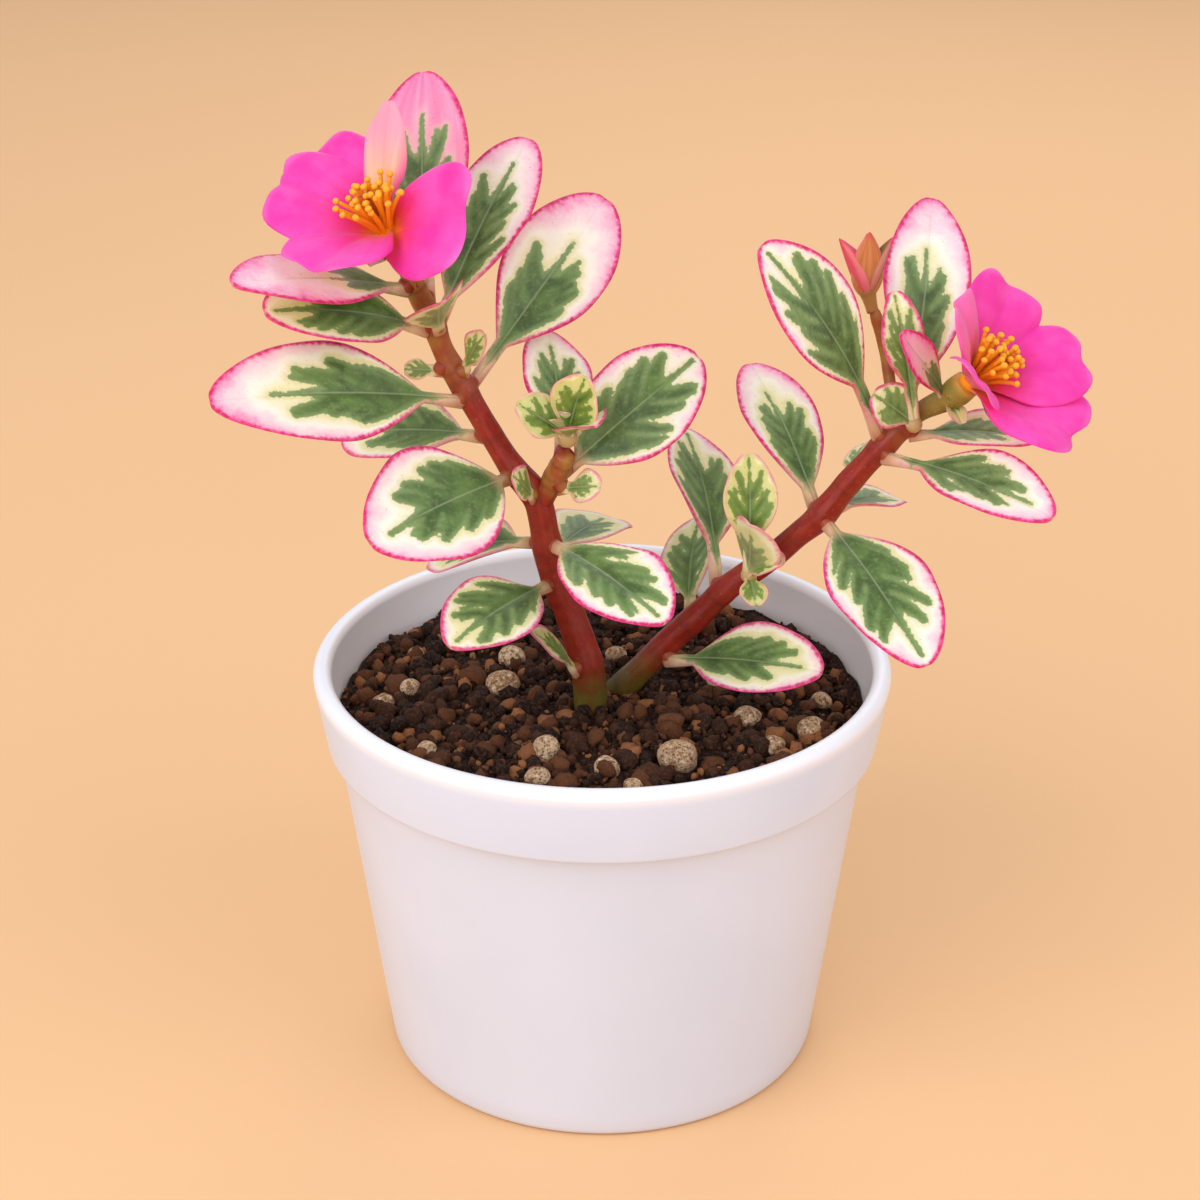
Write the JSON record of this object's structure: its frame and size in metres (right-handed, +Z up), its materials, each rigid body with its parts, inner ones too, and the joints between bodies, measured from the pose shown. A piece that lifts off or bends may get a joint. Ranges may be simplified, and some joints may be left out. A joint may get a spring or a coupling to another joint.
{
  "type": "portulaca in a pot",
  "caption": "A young variegated portulaca with fleshy leaves, open flowers and a bud on branching stems, planted in a small round pot with a collared rim.",
  "frame": {"origin": "centre of the pot's flat foot, on the surface that it stands on", "axes": "+Z up, out of the pot's mouth; the plant shows its front to -Y and its right-hand flower to +X"},
  "size_m": [0.1126, 0.08, 0.1367],
  "materials": {
    "pot": "smooth satin white",
    "soil": "rough, crumbly bark and peat mix with tan granules",
    "stem": "fleshy, satin dark red, yellow-green at the soil",
    "leaf": "fleshy, green centre, cream band and pink edge, satin",
    "young_leaf": "fleshy, fresh green with a cream edge, satin",
    "petal": "thin and silky hot pink",
    "stamen": "golden orange, powdery at the anthers",
    "calyx": "fleshy yellow-green, satin",
    "bud": "smooth scales from pink-red to olive brown"
  },
  "bodies": {
    "root": {"bud": "bud", "flower_left_calyx": "calyx", "flower_left_corolla": "petal", "flower_left_stamens": "stamen", "flower_right_calyx": "calyx", "flower_right_corolla": "petal", "flower_right_stamens": "stamen", "leaf_left_01": "leaf", "leaf_left_02": "leaf", "leaf_left_03": "leaf", "leaf_left_04": "leaf", "leaf_left_05": "leaf", "leaf_left_06": "leaf", "leaf_left_07": "leaf", "leaf_left_08": "leaf", "leaf_left_09": "leaf", "leaf_left_10": "leaf", "leaf_left_11": "leaf", "leaf_left_12": "leaf", "leaf_left_13": "leaf", "leaf_left_14": "leaf", "leaf_left_15": "leaf", "leaf_left_16": "leaf", "leaf_right_01": "leaf", "leaf_right_02": "leaf", "leaf_right_03": "leaf", "leaf_right_04": "leaf", "leaf_right_05": "leaf", "leaf_right_06": "leaf", "leaf_right_07": "leaf", "leaf_right_08": "leaf", "leaf_right_09": "leaf", "leaf_right_10": "leaf", "leaf_right_11": "leaf", "leaf_side_01": "leaf", "leaf_side_02": "leaf", "leaf_side_03": "leaf", "leaf_side_04": "leaf", "pot": "pot", "soil": "soil", "stem_left": "stem", "stem_right": "stem", "tuft_middle": "young_leaf", "tuft_side": "young_leaf", "tuft_top": "young_leaf"}
  },
  "joints": []
}
